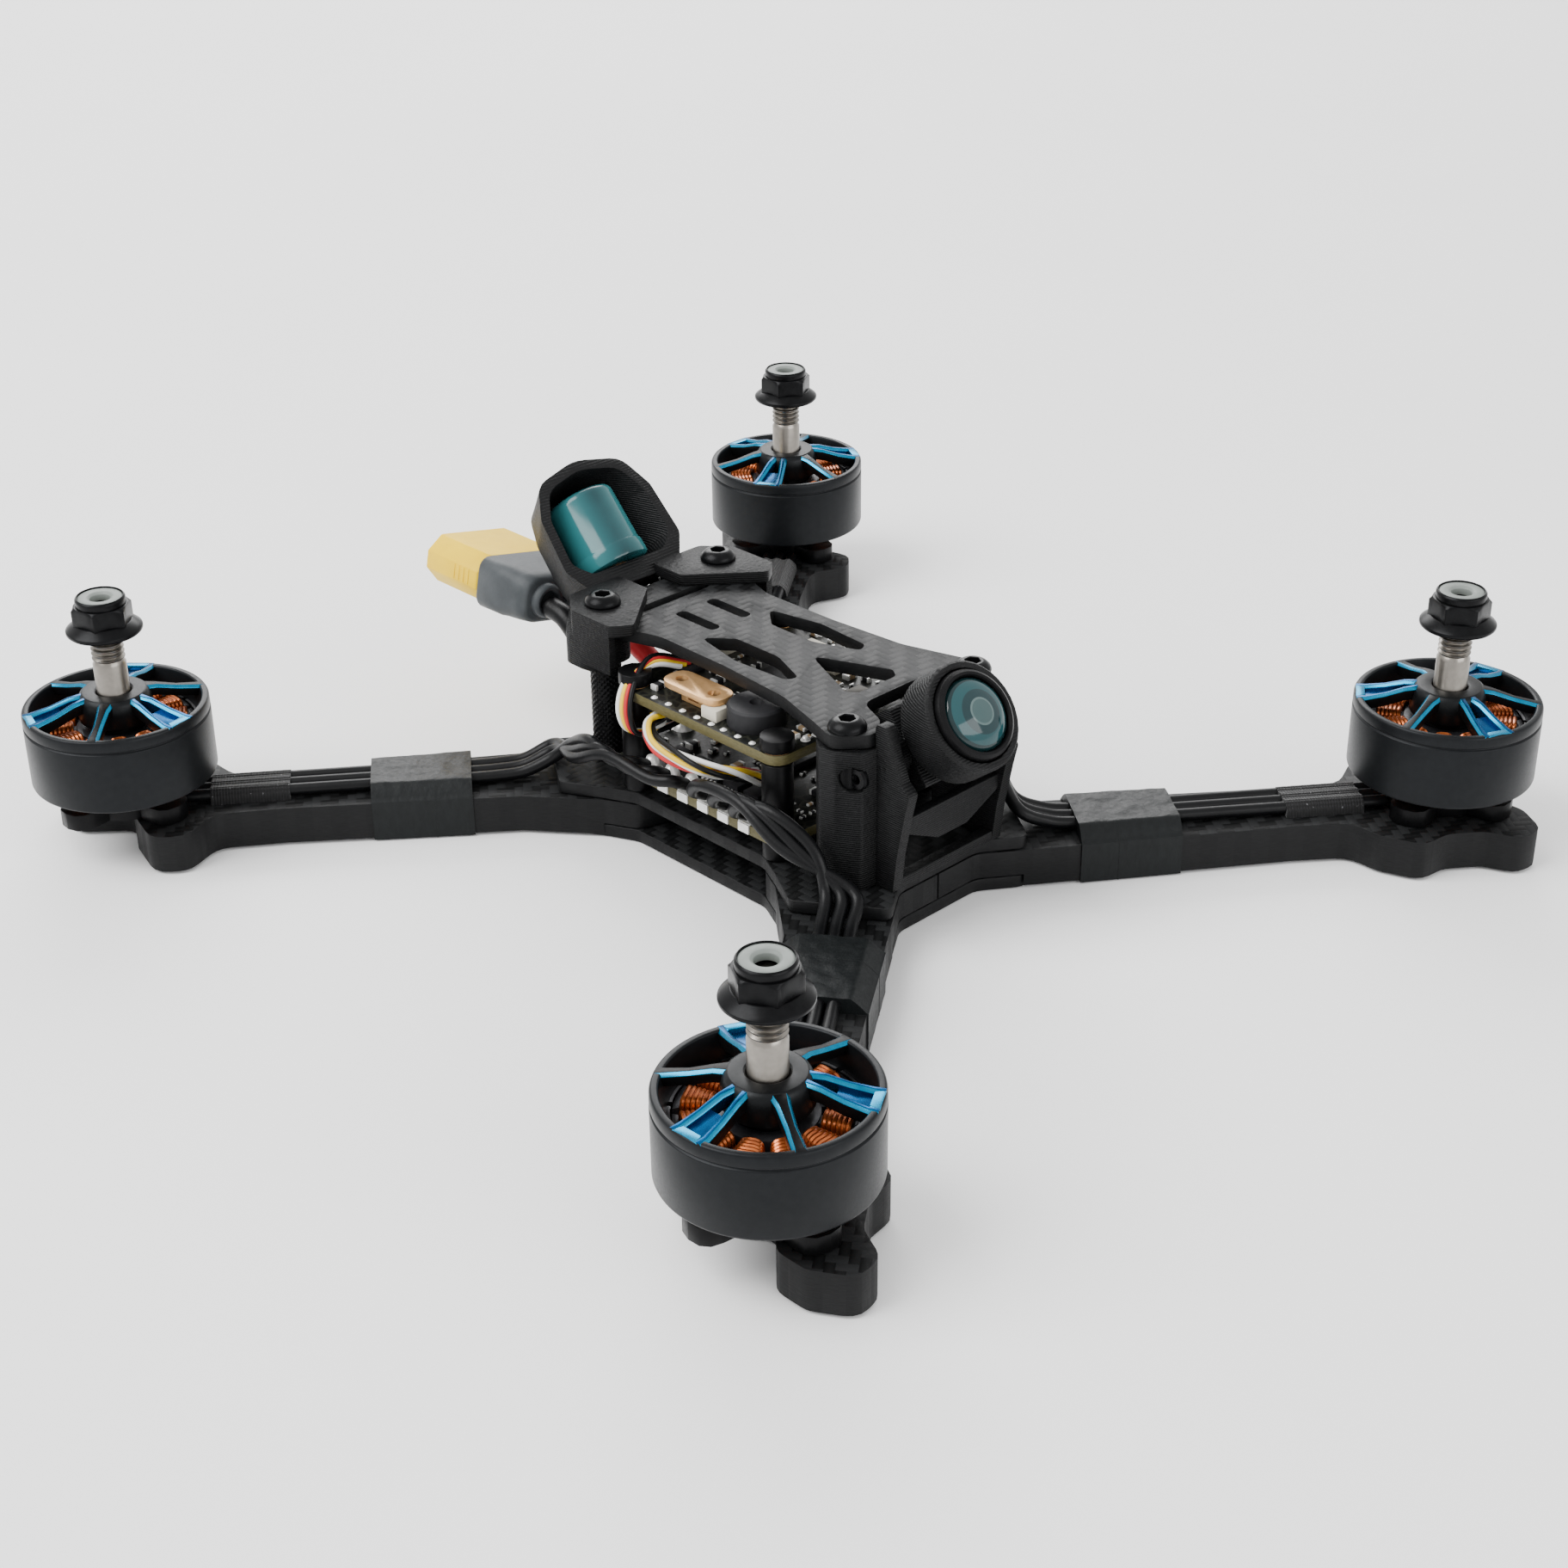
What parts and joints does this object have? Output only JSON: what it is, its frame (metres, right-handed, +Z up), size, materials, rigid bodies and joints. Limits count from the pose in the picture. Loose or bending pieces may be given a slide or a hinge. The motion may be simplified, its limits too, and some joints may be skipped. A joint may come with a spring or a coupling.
{
  "type": "quadcopter drone",
  "caption": "Compact racing quadcopter: crossed carbon arms with spinning motor bells, open electronics stack, tilting nose camera and rear antenna hoop.",
  "frame": {"origin": "underside of the bottom plate, midway between the four motor axes", "axes": "-Y towards the nose and camera, +X towards the drone's left side, +Z up"},
  "size_m": [0.1698, 0.1754, 0.0491],
  "materials": {
    "carbon": "satin woven carbon",
    "printed_tpu": "layered flexible print",
    "camera_plastic": "fine matt",
    "lens_barrel": "black anodised",
    "lens_glass": "teal coated glass",
    "antenna_shell": "smoky teal",
    "black_aluminium": "black anodised, knurled",
    "black_steel": "black oxide",
    "steel": "turned",
    "motor_metal": "graphite anodised",
    "blue_anodised": "bright blue edges",
    "copper": "enamelled windings",
    "black_silicone": "soft sheen",
    "red_silicone": "soft sheen",
    "yellow_silicone": "soft sheen",
    "white_silicone": "soft sheen",
    "tape": "satin tape",
    "circuit_board": "black solder mask",
    "solder": "bright solder",
    "gold_metal": "gold plated",
    "yellow_nylon": "satin moulded nylon",
    "grey_sleeve": "satin"
  },
  "bodies": {
    "airframe": {"bottom_plate": "carbon", "mid_plate": "carbon", "top_plate": "carbon", "arm_front_left": "carbon", "arm_front_right": "carbon", "arm_rear_left": "carbon", "arm_rear_right": "carbon", "camera_cage": "printed_tpu", "antenna_mount": "printed_tpu", "antenna_capsule": "antenna_shell", "standoff_front_left": "black_aluminium", "standoff_front_right": "black_aluminium", "standoff_rear_left": "black_aluminium", "standoff_rear_right": "black_aluminium", "stack_post_front_left": "black_aluminium", "stack_post_front_right": "black_aluminium", "stack_post_rear_left": "black_aluminium", "stack_post_rear_right": "black_aluminium", "screw_front_left": "black_steel", "screw_front_right": "black_steel", "screw_rear_left": "black_steel", "screw_rear_right": "black_steel", "motor_base_front_left": "motor_metal", "motor_base_front_right": "motor_metal", "motor_base_rear_left": "motor_metal", "motor_base_rear_right": "motor_metal", "stator_front_left": "copper", "stator_front_right": "copper", "stator_rear_left": "copper", "stator_rear_right": "copper", "motor_leads_front_left": "black_silicone", "motor_leads_front_right": "black_silicone", "motor_leads_rear_left": "black_silicone", "motor_leads_rear_right": "black_silicone", "power_wire_black": "black_silicone", "power_wire_red": "red_silicone", "signal_harness": "red_silicone", "arm_wrap_front_left": "tape", "arm_wrap_front_right": "tape", "arm_wrap_rear_left": "tape", "arm_wrap_rear_right": "tape", "esc_board": "circuit_board", "fc_board": "circuit_board", "signal_bracket": "gold_metal", "power_plug": "yellow_nylon", "plug_boot": "grey_sleeve"},
    "rotor_front_left": {"bell_front_left": "motor_metal", "shaft_front_left": "steel", "prop_nut_front_left": "black_steel"},
    "rotor_front_right": {"bell_front_right": "motor_metal", "shaft_front_right": "steel", "prop_nut_front_right": "black_steel"},
    "rotor_rear_left": {"bell_rear_left": "motor_metal", "shaft_rear_left": "steel", "prop_nut_rear_left": "black_steel"},
    "rotor_rear_right": {"bell_rear_right": "motor_metal", "shaft_rear_right": "steel", "prop_nut_rear_right": "black_steel"},
    "camera": {"camera_body": "camera_plastic", "camera_lens": "lens_barrel"}
  },
  "joints": [
    {"name": "rotor_front_left_spin", "type": "hinge", "parent": "airframe", "child": "rotor_front_left", "pos_m": [0.071, -0.071, 0.016], "axis": [0, 0, 1], "continuous": true},
    {"name": "rotor_front_right_spin", "type": "hinge", "parent": "airframe", "child": "rotor_front_right", "pos_m": [-0.071, -0.071, 0.016], "axis": [0, 0, 1], "continuous": true},
    {"name": "rotor_rear_left_spin", "type": "hinge", "parent": "airframe", "child": "rotor_rear_left", "pos_m": [0.071, 0.071, 0.016], "axis": [0, 0, 1], "continuous": true},
    {"name": "rotor_rear_right_spin", "type": "hinge", "parent": "airframe", "child": "rotor_rear_right", "pos_m": [-0.071, 0.071, 0.016], "axis": [0, 0, 1], "continuous": true},
    {"name": "camera_tilt", "type": "hinge", "parent": "airframe", "child": "camera", "pos_m": [0, -0.03033, 0.02776], "axis": [1, 0, 0], "range_deg": [-20, 6]}
  ]
}
